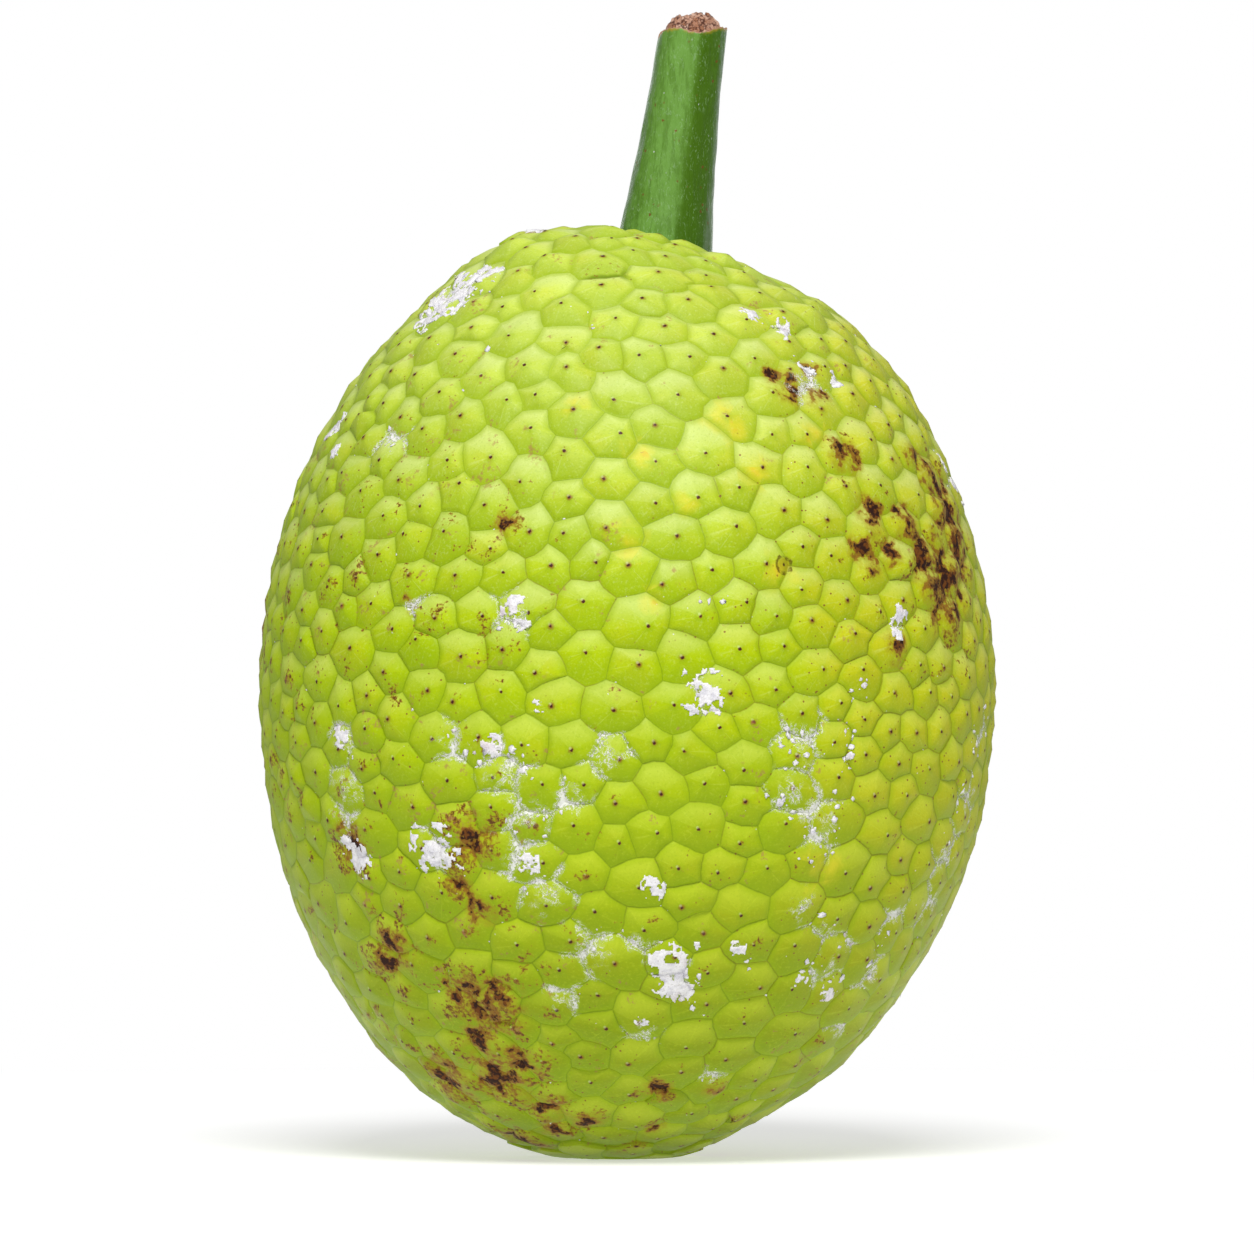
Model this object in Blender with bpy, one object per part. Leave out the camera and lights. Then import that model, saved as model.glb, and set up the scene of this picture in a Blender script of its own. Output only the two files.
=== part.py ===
"""A breadfruit: the grown fruit with its faceted rind, and the cut stem it hung by.

Metres, +Z up, -Y is the front. The fruit stands on the small flat spot at its lower end, and the
origin is the centre of that spot.
"""

import math

import bmesh
import bpy
import numpy as np
from mathutils import Vector

# The fruit: an upright egg, slightly skewed
FRUIT_WIDTH = 0.150
FRUIT_DEPTH = 0.147
FRUIT_LENGTH = 0.190
RESTING_CUT = 0.0014            # how much of the lower end the flat spot takes away
LOWER_LEAN = 0.0032             # how far the lower end leans to the left
CROWN_SLOPE = 0.10              # how steeply the crown falls to the right
CROWN_LEVELS = (0.80, 0.96)     # where that slope sets in, from the middle (0) to the top (1)
HOLLOW_DEPTH = 0.0030           # of the dip in the crown around the stem
HOLLOW_RADIUS = 0.013

# The rind: grooves in a net around low pyramids
FACE_WIDTH = 0.0096             # across a face at the front
FACE_ASPECT = 1.15              # its width over its height
CROWN_FACE = 0.88               # size of the faces by the stem, next to those at the front
LOWER_FACE = 0.88               # the same at the lower end
SIDE_FACE = 0.94                # the same at the left and right
CLOSEST_CENTRES = 0.78          # least distance between face centres, in face widths
GROOVE_DEPTH = 0.0010
FACE_RISE = 0.0012              # a face's tip above the plane of its corners
SHORTEST_GROOVE = 0.0012        # corners closer than this are one corner
CALM_RADII = (0.013, 0.024)     # around the resting spot, where the grooves fade out

# The stem: its axis runs from the bottom of its socket to the middle of its cut
STEM_FOOT = Vector((0.0100, 0.0050, 0.1801))
STEM_TIP = Vector((0.0164, 0.0062, 0.2281))
STEM_FOOT_RADIUS = 0.0101
STEM_TIP_RADIUS = 0.0068
STEM_TAPER = 1.8                # how fast the foot narrows
STEM_SIDES = 28
STEM_SECTIONS = 12
RIB_ANGLE = math.radians(-72)   # the raised rib faces the front, a little to the right
CORE_RISE = 0.0033              # the torn fibres above the rim of the cut
CORE_RINGS = ((0.86, 0.05), (0.80, 0.35), (0.55, 0.80), (0.20, 1.0))    # share of radius, of rise

GAP = 0.0003                    # between the stem and its socket

SEED = 7
DARTS = 40000
EVENING_ROUNDS = 2

SEMI_AXES = np.array((FRUIT_WIDTH, FRUIT_DEPTH, FRUIT_LENGTH)) / 2
MEAN_RADIUS = (FRUIT_WIDTH + FRUIT_DEPTH) / 4


def smooth_step(values, start, end):
    """0 before start, 1 after end, and a smooth rise between."""
    share = np.clip((values - start) / (end - start), 0, 1)
    return share * share * (3 - 2 * share)


def unit(vectors):
    """Each row scaled to length one."""
    return vectors / np.linalg.norm(vectors, axis=1, keepdims=True)


def layout_levels():
    """Latitudes on the layout sphere, and the levels (-1 to 1) on the fruit that they stand for.

    The faces are laid out on a sphere, where they are round. This spacing of the latitudes makes
    them FACE_ASPECT times as wide as they are tall on the fruit, and round again at its two ends.
    """
    turn = np.linspace(-1, 1, 2001) * (math.pi / 2 - 0.01)
    level = np.sin(turn)
    radius = MEAN_RADIUS * np.cos(turn)
    along = np.hypot(MEAN_RADIUS * np.sin(turn), SEMI_AXES[2] * np.cos(turn))
    aspect = 1 + (FACE_ASPECT - 1) * (1 - level ** 2)
    growth = aspect * along / radius
    steps = (growth[1:] + growth[:-1]) / 2 * np.diff(turn)
    stretch = np.concatenate(((0,), np.cumsum(steps)))
    stretch -= np.interp(0, turn, stretch)
    return np.arctan(np.sinh(stretch)), level


LAYOUT_LATITUDES, LAYOUT_LEVELS = layout_levels()


def fruit_level(directions):
    """The level on the fruit, from -1 at its lower end to 1 at its crown."""
    latitudes = np.arcsin(np.clip(directions[:, 2], -1, 1))
    return np.interp(latitudes, LAYOUT_LATITUDES, LAYOUT_LEVELS)


def fruit_surface(directions):
    """Points on the fruit at the height of the face tips, and the directions that point out there."""
    level = fruit_level(directions)
    reach = np.sqrt(1 - level ** 2)
    azimuth = np.arctan2(directions[:, 1], directions[:, 0])
    on_ball = np.stack((reach * np.cos(azimuth), reach * np.sin(azimuth), level), axis=1)
    points = on_ball * SEMI_AXES
    outward = unit(on_ball / SEMI_AXES)
    crown = smooth_step(level, *CROWN_LEVELS)
    points[:, 2] += SEMI_AXES[2] - RESTING_CUT - crown * CROWN_SLOPE * points[:, 0]
    points[:, 0] += LOWER_LEAN * (1 - np.minimum(level, 0) ** 2)
    to_stem = np.hypot(points[:, 0] - STEM_FOOT.x, points[:, 1] - STEM_FOOT.y)
    points[:, 2] -= crown * HOLLOW_DEPTH * np.exp(-(to_stem / HOLLOW_RADIUS) ** 2)
    return points, outward


def face_spacing(directions):
    """The width of a face on the layout sphere, at each direction."""
    level = fruit_level(directions)
    across = np.hypot(directions[:, 0], directions[:, 1])
    sideways = np.abs(directions[:, 0]) / across
    size = 1 - (1 - CROWN_FACE) * smooth_step(level, 0.6, 1.0)
    size -= (1 - LOWER_FACE) * smooth_step(-level, 0.6, 1.0)
    size -= (1 - SIDE_FACE) * smooth_step(sideways, 0.5, 1.0) * (1 - level ** 2)
    return size * FACE_WIDTH / MEAN_RADIUS * across / np.sqrt(1 - level ** 2)


def scatter_centres():
    """Random directions that keep their distance from each other."""
    chance = np.random.default_rng(SEED)
    darts = unit(chance.normal(size=(DARTS, 3)))
    distances = CLOSEST_CENTRES * face_spacing(darts)
    centres = darts[:1]
    for dart, distance in zip(darts[1:], distances[1:]):
        if np.linalg.norm(centres - dart, axis=1).min() > distance:
            centres = np.vstack((centres, dart))
    return centres


def turn_about(corner, side, up):
    """The angle of a corner in the plane of side and up."""
    return math.atan2(corner.dot(up), corner.dot(side))


def face_outlines(centres):
    """Corner directions between the centres, and for each centre the ring of its corners.

    The convex hull of points on a sphere joins each point to its neighbours, so each triangle of
    the hull is a place where three faces of the rind meet.
    """
    net = bmesh.new()
    for centre in centres:
        net.verts.new(centre)
    bmesh.ops.convex_hull(net, input=net.verts)
    net.faces.index_update()
    corners = [(face.normal + face.calc_center_median().normalized()).normalized() for face in net.faces]
    rings = []
    for vert in net.verts:
        side = vert.co.orthogonal().normalized()
        up = vert.co.cross(side)
        around = sorted(vert.link_faces, key=lambda face: turn_about(corners[face.index], side, up))
        rings.append([face.index for face in around])
    net.free()
    return np.array(corners), rings


def rind_outlines():
    """The corners and rings of the whole rind, after moving each centre to the middle of its face."""
    centres = scatter_centres()
    for _ in range(EVENING_ROUNDS):
        corners, rings = face_outlines(centres)
        centres = unit(np.array([corners[ring].mean(axis=0) for ring in rings]))
    return face_outlines(centres)


def cut_resting_spot(rind):
    """Take off what lies below the ground and close the fruit with one flat face."""
    everything = rind.verts[:] + rind.edges[:] + rind.faces[:]
    cut = bmesh.ops.bisect_plane(rind, geom=everything, plane_co=(0, 0, 0), plane_no=(0, 0, -1),
                                 clear_outer=True)
    rim = [edge for edge in cut["geom_cut"] if isinstance(edge, bmesh.types.BMEdge)]
    bmesh.ops.contextual_create(rind, geom=rim)


def fruit_mesh():
    """The closed rind: grooved polygons, each poked into a low pyramid, cut flat where it rests."""
    corners, rings = rind_outlines()
    points, outward = fruit_surface(corners)
    from_spot = np.linalg.norm(points, axis=1)
    depth = GROOVE_DEPTH * smooth_step(from_spot, *CALM_RADII)
    points -= outward * depth[:, None]
    rind = bmesh.new()
    verts = [rind.verts.new(point) for point in points]
    for ring in rings:
        rind.faces.new([verts[index] for index in ring])
    bmesh.ops.remove_doubles(rind, verts=rind.verts, dist=SHORTEST_GROOVE)
    bmesh.ops.recalc_face_normals(rind, faces=rind.faces)
    bmesh.ops.poke(rind, faces=rind.faces, offset=FACE_RISE)
    cut_resting_spot(rind)
    return finished_mesh("fruit", rind)


def stem_outline(angle):
    """How far the stem's skin is from its axis, next to its mean radius: three blunt edges and a rib."""
    off_rib = math.remainder(angle - RIB_ANGLE, math.tau)
    return 1 + 0.02 * math.cos(3 * angle + 0.6) + 0.05 * math.exp(-(off_rib / 0.3) ** 2)


def add_ring(solid, centre, radius):
    """A level ring of points around the stem's axis."""
    ring = []
    for side in range(STEM_SIDES):
        angle = math.tau * side / STEM_SIDES
        reach = radius * stem_outline(angle)
        offset = Vector((reach * math.cos(angle), reach * math.sin(angle), 0))
        ring.append(solid.verts.new(centre + offset))
    return ring


def join_rings(solid, lower, upper):
    """A band of faces between two rings."""
    for side in range(STEM_SIDES):
        following = (side + 1) % STEM_SIDES
        solid.faces.new((lower[side], lower[following], upper[following], upper[side]))


def stem_mesh(name, extra=0.0):
    """The stem as a closed loft with a torn, domed cut; extra makes it larger all over."""
    solid = bmesh.new()
    rings = []
    for section in range(STEM_SECTIONS + 1):
        share = section / STEM_SECTIONS
        swell = (STEM_FOOT_RADIUS - STEM_TIP_RADIUS) * (1 - share) ** STEM_TAPER
        centre = STEM_FOOT.lerp(STEM_TIP, share)
        rings.append(add_ring(solid, centre, STEM_TIP_RADIUS + swell + extra))
    for reach, rise in CORE_RINGS:
        centre = STEM_TIP + Vector((0, 0, CORE_RISE * rise))
        rings.append(add_ring(solid, centre, STEM_TIP_RADIUS * reach))
    for lower, upper in zip(rings, rings[1:]):
        join_rings(solid, lower, upper)
    for vert in rings[0]:
        vert.co.z -= extra
    solid.faces.new(reversed(rings[0]))
    solid.faces.new(rings[-1])
    return finished_mesh(name, solid)


def finished_mesh(name, solid):
    """The solid as a mesh of its own."""
    mesh = bpy.data.meshes.new(name)
    solid.to_mesh(mesh)
    solid.free()
    return mesh


def skin_material(name, colour, roughness):
    """A plain plant skin."""
    material = bpy.data.materials.new(name)
    material.use_nodes = True
    shader = material.node_tree.nodes["Principled BSDF"]
    shader.inputs["Base Color"].default_value = (*colour, 1)
    shader.inputs["Roughness"].default_value = roughness
    shader.inputs["Metallic"].default_value = 0
    return material


def add_object(mesh, collection, sharp_angle):
    """An object named for its mesh, smooth but for creases sharper than sharp_angle degrees."""
    mesh.shade_smooth()
    mesh.set_sharp_from_angle(angle=math.radians(sharp_angle))
    thing = bpy.data.objects.new(mesh.name, mesh)
    collection.objects.link(thing)
    return thing


def add_collection(name):
    """A collection in the scene."""
    collection = bpy.data.collections.new(name)
    bpy.context.scene.collection.children.link(collection)
    return collection


def cut_socket(fruit, cutters):
    """The shallow socket in the crown that the stem stands in."""
    cutter = add_object(stem_mesh("stem_socket", GAP), cutters, sharp_angle=40)
    cutter.hide_render = True
    cutter.display_type = "WIRE"
    socket = fruit.modifiers.new("stem socket", "BOOLEAN")
    socket.operation = "DIFFERENCE"
    socket.solver = "EXACT"
    socket.object = cutter


def main():
    for old in list(bpy.data.objects):
        bpy.data.objects.remove(old)
    breadfruit = add_collection("breadfruit")
    cutters = add_collection("cutters")
    fruit = add_object(fruit_mesh(), breadfruit, sharp_angle=20)
    fruit.data.materials.append(skin_material("rind", (0.42, 0.53, 0.045), 0.45))
    stem = add_object(stem_mesh("stem"), breadfruit, sharp_angle=40)
    stem.data.materials.append(skin_material("stem_skin", (0.09, 0.22, 0.03), 0.5))
    cut_socket(fruit, cutters)


main()
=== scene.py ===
"""The looks of the breadfruit: its rind, its stem and the latex dried on it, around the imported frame.

Metres, +Z up, -Y is the front. The rind repeats the layout of the CAD faces, so that every groove
and every tip lies where the CAD solid has it, and adds the shape that the solid only hints at.
"""

import math

import bmesh
import bpy
import numpy as np
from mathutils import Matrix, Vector, noise
from mathutils.bvhtree import BVHTree


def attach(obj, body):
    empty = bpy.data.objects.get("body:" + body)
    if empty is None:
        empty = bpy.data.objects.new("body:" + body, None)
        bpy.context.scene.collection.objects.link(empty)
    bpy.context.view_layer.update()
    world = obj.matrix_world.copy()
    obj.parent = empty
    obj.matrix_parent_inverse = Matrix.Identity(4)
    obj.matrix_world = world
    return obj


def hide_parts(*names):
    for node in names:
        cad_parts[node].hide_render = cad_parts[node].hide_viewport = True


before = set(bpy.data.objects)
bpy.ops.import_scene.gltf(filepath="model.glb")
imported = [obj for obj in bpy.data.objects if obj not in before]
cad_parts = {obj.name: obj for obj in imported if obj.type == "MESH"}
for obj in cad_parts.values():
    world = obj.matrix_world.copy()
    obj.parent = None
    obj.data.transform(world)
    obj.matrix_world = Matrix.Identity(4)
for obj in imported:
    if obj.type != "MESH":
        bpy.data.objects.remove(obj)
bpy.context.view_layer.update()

MM = 0.001
TINY = 1e-12                    # keeps a length from being zero

# The driving dimensions of the CAD fruit and its faces
FRUIT_WIDTH = 0.150
FRUIT_DEPTH = 0.147
FRUIT_LENGTH = 0.190
RESTING_CUT = 0.0014
LOWER_LEAN = 0.0032
CROWN_SLOPE = 0.10
CROWN_LEVELS = (0.80, 0.96)
HOLLOW_DEPTH = 0.0030
HOLLOW_RADIUS = 0.013
FACE_WIDTH = 0.0096
FACE_ASPECT = 1.15
CROWN_FACE = 0.88
LOWER_FACE = 0.88
SIDE_FACE = 0.94
END_LEVELS = (0.6, 1.0)         # where the faces begin to shrink, to where they are smallest
SIDE_LEVELS = (0.5, 1.0)        # the same towards the left and right
CLOSEST_CENTRES = 0.78
GROOVE_DEPTH = 0.0010
CALM_RADII = (0.013, 0.024)
STEM_FOOT = Vector((0.0100, 0.0050, 0.1801))
STEM_TIP = Vector((0.0164, 0.0062, 0.2281))
STEM_FOOT_RADIUS = 0.0101
STEM_TIP_RADIUS = 0.0068
STEM_TAPER = 1.8
RIB_ANGLE = math.radians(-72)
EDGE_SWELL = 0.02               # of the stem's three blunt edges, next to its radius
EDGE_TURN = 0.6                 # the angle that they are turned by
RIB_SWELL = 0.05
RIB_SPAN = 0.3                  # the angle that the rib takes up
SEED = 7
DARTS = 40000
EVENING_ROUNDS = 2
LEVEL_COUNT = 2001
POLE_GAP = 0.01                 # angle between the last level and each end of the fruit
SEMI_AXES = np.array((FRUIT_WIDTH, FRUIT_DEPTH, FRUIT_LENGTH)) / 2
MEAN_RADIUS = (FRUIT_WIDTH + FRUIT_DEPTH) / 4

# The fine shape of the rind
GROOVE_STEP = 0.00195           # length of the pieces a groove is drawn with
GROOVE_BOW = 0.00030            # how far its middle bends from the straight
GROOVE_SWAY = 0.00010           # how far it wanders besides
GROOVE_WIDTH = 0.0003
SHOULDER = 0.00022              # height of the wall of a groove
RELIEF = 0.00114                # height of a tip above the grooves around it
RELIEF_SPREAD = (0.75, 1.25)    # of single faces, next to that
OUTLINE_FLATTENING = 0.42       # of the relief by the left and right edges
LOW_FLATTENING = 0.2            # the same in the lower half
FACE_LIFT = 0.00008             # how unevenly high the faces lie
CROWN_LIFT = 0.00016            # besides, at the crown
LEAST_DOME = 0.12               # of a face, from flat facets (0) to round ones (1)
MORE_DOME = 0.5                 # besides, at the sides and in the lower half
CROWN_DOME = 0.7                # share of that at the crown
CROWN_SOFTNESS = 0.9            # from crisp facets (0) to one soft swelling (1)
SIDE_SOFTNESS = 0.55
CORNER_SHIFT = 0.00040          # of a corner between faces from its place in the layout
TIP_SHIFT = 0.00075             # of a tip from the middle of its face
SOFT_LEVELS = (0.15, 0.75)      # on the fruit, where softness sets in and where it is full
CROWN_ZONE = (0.55, 0.95)       # levels where the crown begins and where it is in full
LOW_ZONE = (0.1, -0.6)          # the same for the lower half
SIDE_ZONE = (0.6, 0.97)         # the same from the middle (0) to the left and right edges (1)
OUTLINE_ZONE = (0.85, 1.0)
RING_DISTANCES = (0.00035, 0.0010)      # of the first rings of a face from its groove
RING_SHARE = 0.48                       # of the next one on the way to the tip
SWELLING_END = 0.9                      # share of that way where a soft face is highest
NUB_RADIUS = 0.00060
NUB_HEIGHT = 0.00009
NUB_FADING = 0.4                # share of its height that it lacks on a soft face
WAVINESS = 0.0004               # of the whole fruit
WAVE_LENGTH = 0.022

# The fine shape of the stem and its cut
STEM_SIDES = 144
STEM_SECTIONS = 90
SKIN_SPREAD = 0.0002            # of the skin outside the CAD stem
CORE_RINGS = 44
RIM_WAVE = 0.0004
CORNER_DROP = 0.0017            # of the rim at its left
FRONT_DIP = 0.0012              # of the rim at the front
RIM_LIFT = 0.0004               # of the rest of the rim above the level of the cut
CORE_SHARE = 0.92               # of the rim's radius
LIP = ((0.985, -0.00004), (0.955, 0.00005), (0.88, 0.0006))    # share of radius, drop of its rings
SKIN_FADING = 6                 # how fast the rim's shape fades out down the stem
CORE_FADING = 3                 # the same towards the middle of the core
CORNER_ANGLE = 1.05 * math.pi
CORNER_SPAN = 0.5
DIP_ANGLE = 1.57 * math.pi
DIP_SPAN = 0.45
LONG_WAVES = 2.2                # how fast they follow each other around the rim
SHORT_WAVES = 9
SHORT_WAVE = 0.5                # height of the short ones, next to the long ones
WAVE_PLACE = Vector((4, 0, 0))  # of the long waves in the noise
SKIN_RIDGES = (0.00012, 0.0016)         # height and size
SKIN_LUMPS = (0.00020, 0.0060)
RIDGE_LENGTH = 5                # next to their size
CORE_PROFILE = (                # from the left to the right edge of the core, and how high it rises
    (-1.0, 0.0009), (-0.5, 0.0024), (0.0, 0.0034), (0.3, 0.0034), (0.55, 0.0026), (0.75, 0.0016),
    (1.0, 0.0008),
)
CORE_FALL = 0.4                 # of that height at the front and the back
CORE_LIMIT = 0.0040             # no flake is higher than this above the cut
CORE_SHOULDER = 7               # how steeply its edge rises
CORE_SINK = 0.0009              # of its edge below the cut
CORE_FOOT = 0.0015              # of its wall below that
FLAKE_SIZE = 0.0019
FLAKE_HEIGHT = 0.0006
FLAKE_TILT = 1.4
FLAKE_LEVEL = 0.6               # of flakes that are neither high nor low
FLAKE_GRAIN = (0.3, 0.0005)     # height, next to FLAKE_HEIGHT, and size
LEVEL_HASH = 37                 # these three make unrelated random numbers of one place
EAST_HASH = 53
NORTH_HASH = 71

# Dried latex
CRUST_STEP = 0.00022            # between its points
CRUST_HEIGHT = 0.00026
CRUST_ROOT = 0.0002             # its depth in the rind
CRUST_REACH = 1.3               # as far as it spreads, next to its radius
CRUST_EDGE = 3                  # how steeply its edge rises
CRUST_CLOUDS = (0.8, 0.0024)    # strength and size of the noise that tears its outline
CRUST_GRAIN = (0.35, 0.0006)
CRUST_EVENNESS = 0.8            # share of its height that it has before lumps
CRUST_LUMPS = (0.6, 0.0006)
SHARD_SIZE = 0.0013
SHARD_STRENGTH = 0.8
ABOVE_RIND = 0.006              # clear of any tip
BEAD_RADII = (0.00010, 0.00055)
BEAD_SPREAD = 0.0009
CRUMB_RADII = (0.00012, 0.00050)
CRUMB_SPREAD = 0.0008
CRUMB_PATCHES = 0.0045          # size of the patches of groove that have them
CRUMB_SMALLNESS = 1.8           # the more, the rarer are large ones
CRUMB_STRETCH = (0.7, 1.6)
CRUMB_LUMPS = (1.2, 1.6)        # how strong and how many
CRUMB_FLATNESS = 0.65
CRUMB_RISE = 0.1                # of its middle over the rind, next to its radius
IN_FRONT = Vector((0, -0.2, 0))
LONE_CRUMBS = 170
LONE_RADII = (0.00008, 0.00030)

# Marks on the front: how far across and how high each one is, and its radius, in millimetres
SCABS = (
    (36, 154, 5), (32, 157, 3), (41, 153, 4), (39, 158, 3), (46, 141, 5), (50, 122, 5), (55, 121, 4),
    (62, 121, 6), (65, 136, 7), (68, 128, 9), (67, 115, 12), (70, 122, 8), (57, 103, 4), (51, 130, 4),
    (58, 128, 5), (-25, 33, 8), (-30, 35, 4), (-26, 25, 5), (-22, 18, 8), (-18, 20, 5), (-32, 17, 7),
    (-13, 12, 5), (9, 16, 4), (-18, 4, 6), (-43, 44, 5), (-27, 66, 5), (-4, 8, 4), (-11, 7, 4),
    (-51, 64, 5), (-25, 51, 4), (-29, 57, 3), (-20, 128, 3), (-45, 40, 4), (60, 141, 4), (20, 15, 3),
    (26, 8, 2.5), (9, 7, 2.5), (5, 3, 2), (36, 11, 2), (-40, 112, 2.5),
)
YELLOWED = (
    (21, 148, 5), (25, 146, 4), (3, 123, 5), (6, 141, 5), (41, 146, 5), (8, 112, 4), (42, 60, 6),
    (29, 137, 5), (33, 118, 6), (-7, 152, 4), (14, 132, 4),
)
LATEX_FILMS = (
    (-44, 144, 5), (-53, 86, 4), (-53, 75, 5), (-53, 70, 5), (-31, 85, 5), (-21, 80, 6), (-17, 72, 6),
    (-17, 62, 6), (-13, 54, 6), (-4, 43, 6), (6, 45, 4), (-9, 73, 5), (0, 82, 5), (38, 86, 6),
    (40, 72, 6), (36, 74, 5), (42, 66, 5), (38, 51, 4), (74, 86, 5), (71, 72, 6), (67, 62, 6),
    (63, 52, 5), (-9, 34, 4), (7, 28, 4), (67, 139, 4), (38, 156, 5), (-19, 110, 5), (-38, 112, 3.5),
    (43, 48, 3.5), (43, 39, 4), (51, 37, 4.5), (57, 50, 4.5), (47, 45, 3), (20, 18, 3), (45, 26, 4),
)
LATEX_CRUSTS = (
    (-35, 64, 4), (-33, 61, 3), (19, 94, 3.5), (13, 39, 4), (14, 36, 3), (-50, 61, 3), (-52, 65, 2),
    (-31, 174, 5), (-35, 171, 4.5), (-27, 177, 4), (-15, 187, 2), (-20, 111, 2), (-18, 108, 1.5),
    (-55, 147, 2.5), (-55, 142, 1.5), (28, 169, 2), (34, 167, 2), (57, 109, 2), (57, 106, 1.5),
    (9, 56, 2), (39, 159, 1.5), (44, 156, 1.5), (67, 140, 2), (69, 136, 1.5), (24, 44, 1.5),
    (-24, 83, 2), (-17, 79, 1.5), (-17, 61, 2), (-53, 86, 2), (-14, 92, 1.2), (43, 34, 1.5),
    (38, 38, 1.3), (7, 29, 1.2),
)
# Start and end of each trail, in the same way, and how many beads it has
BEAD_TRAILS = (
    ((48, 95), (44, 62), 22), ((31, 76), (40, 66), 14), ((33, 84), (44, 85), 12),
    ((47, 90), (46, 72), 12), ((41, 39), (44, 33), 6), ((-25, 84), (-15, 82), 10),
    ((-30, 87), (-25, 80), 6), ((26, 44), (27, 40), 4), ((18, 31), (13, 36), 8),
    ((70, 140), (72, 126), 8), ((74, 90), (66, 58), 16), ((38, 62), (40, 58), 4),
    ((-5, 170), (-3, 166), 3), ((25, 113), (18, 112), 6), ((-26, 164), (-24, 162), 2),
    ((49, 98), (52, 92), 4), ((36, 42), (45, 37), 9), ((41, 50), (48, 44), 7), ((58, 52), (50, 35), 8),
)
PIMPLE = (34, 119, 1.7)
CREASE = (-1, 178, 6)

# Marks on the back, in clusters
BACK_CLUSTERS = {"scab": 7, "yellowed": 6, "film": 10, "crust": 5, "crumbs": 3}
CLUSTER_RADIUS = 0.010
CLUSTER_MARKS = 4
BACK_RADII = (3, 6)             # of the marks, in millimetres


# ---- Layout of the rind, as in the CAD model ----

def smooth_step(values, start, end):
    """0 before start, 1 after end, and a smooth rise between."""
    share = np.clip((values - start) / (end - start), 0, 1)
    return share * share * (3 - 2 * share)


def unit(vectors):
    """Each row scaled to length one."""
    return vectors / np.linalg.norm(vectors, axis=1, keepdims=True)


def layout_levels():
    """Latitudes on the layout sphere, and the levels (-1 to 1) on the fruit that they stand for."""
    turn = np.linspace(-1, 1, LEVEL_COUNT) * (math.pi / 2 - POLE_GAP)
    level = np.sin(turn)
    radius = MEAN_RADIUS * np.cos(turn)
    along = np.hypot(MEAN_RADIUS * np.sin(turn), SEMI_AXES[2] * np.cos(turn))
    aspect = 1 + (FACE_ASPECT - 1) * (1 - level ** 2)
    growth = aspect * along / radius
    steps = (growth[1:] + growth[:-1]) / 2 * np.diff(turn)
    stretch = np.concatenate(((0,), np.cumsum(steps)))
    stretch -= np.interp(0, turn, stretch)
    return np.arctan(np.sinh(stretch)), level


LAYOUT_LATITUDES, LAYOUT_LEVELS = layout_levels()


def fruit_level(directions):
    """The level on the fruit, from -1 at its lower end to 1 at its crown."""
    latitudes = np.arcsin(np.clip(directions[:, 2], -1, 1))
    return np.interp(latitudes, LAYOUT_LATITUDES, LAYOUT_LEVELS)


def fruit_surface(directions):
    """Points on the fruit at the height of the face tips, and the directions that point out there."""
    level = fruit_level(directions)
    reach = np.sqrt(1 - level ** 2)
    azimuth = np.arctan2(directions[:, 1], directions[:, 0])
    on_ball = np.stack((reach * np.cos(azimuth), reach * np.sin(azimuth), level), axis=1)
    points = on_ball * SEMI_AXES
    outward = unit(on_ball / SEMI_AXES)
    crown = smooth_step(level, *CROWN_LEVELS)
    points[:, 2] += SEMI_AXES[2] - RESTING_CUT - crown * CROWN_SLOPE * points[:, 0]
    points[:, 0] += LOWER_LEAN * (1 - np.minimum(level, 0) ** 2)
    to_stem = np.hypot(points[:, 0] - STEM_FOOT.x, points[:, 1] - STEM_FOOT.y)
    points[:, 2] -= crown * HOLLOW_DEPTH * np.exp(-(to_stem / HOLLOW_RADIUS) ** 2)
    return points, outward


def face_spacing(directions):
    """The width of a face on the layout sphere, at each direction."""
    level = fruit_level(directions)
    across = np.hypot(directions[:, 0], directions[:, 1])
    sideways = np.abs(directions[:, 0]) / across
    size = 1 - (1 - CROWN_FACE) * smooth_step(level, *END_LEVELS)
    size -= (1 - LOWER_FACE) * smooth_step(-level, *END_LEVELS)
    size -= (1 - SIDE_FACE) * smooth_step(sideways, *SIDE_LEVELS) * (1 - level ** 2)
    return size * FACE_WIDTH / MEAN_RADIUS * across / np.sqrt(1 - level ** 2)


def scatter_centres():
    """Random directions that keep their distance from each other."""
    chance = np.random.default_rng(SEED)
    darts = unit(chance.normal(size=(DARTS, 3)))
    distances = CLOSEST_CENTRES * face_spacing(darts)
    centres = darts[:1]
    for dart, distance in zip(darts[1:], distances[1:]):
        if np.linalg.norm(centres - dart, axis=1).min() > distance:
            centres = np.vstack((centres, dart))
    return centres


def turn_about(corner, side, up):
    """The angle of a corner in the plane of side and up."""
    return math.atan2(corner.dot(up), corner.dot(side))


def face_outlines(centres):
    """Corner directions between the centres, and for each centre the ring of its corners."""
    net = bmesh.new()
    for centre in centres:
        net.verts.new(centre)
    bmesh.ops.convex_hull(net, input=net.verts)
    net.faces.index_update()
    corners = [(face.normal + face.calc_center_median().normalized()).normalized() for face in net.faces]
    rings = []
    for vert in net.verts:
        side = vert.co.orthogonal().normalized()
        up = vert.co.cross(side)
        around = sorted(vert.link_faces, key=lambda face: turn_about(corners[face.index], side, up))
        rings.append([face.index for face in around])
    net.free()
    return np.array(corners), rings


def rind_outlines():
    """The corners and rings of the whole rind, after moving each centre to the middle of its face."""
    centres = scatter_centres()
    for _ in range(EVENING_ROUNDS):
        corners, rings = face_outlines(centres)
        centres = unit(np.array([corners[ring].mean(axis=0) for ring in rings]))
    return face_outlines(centres)


# ---- The rind ----

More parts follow.
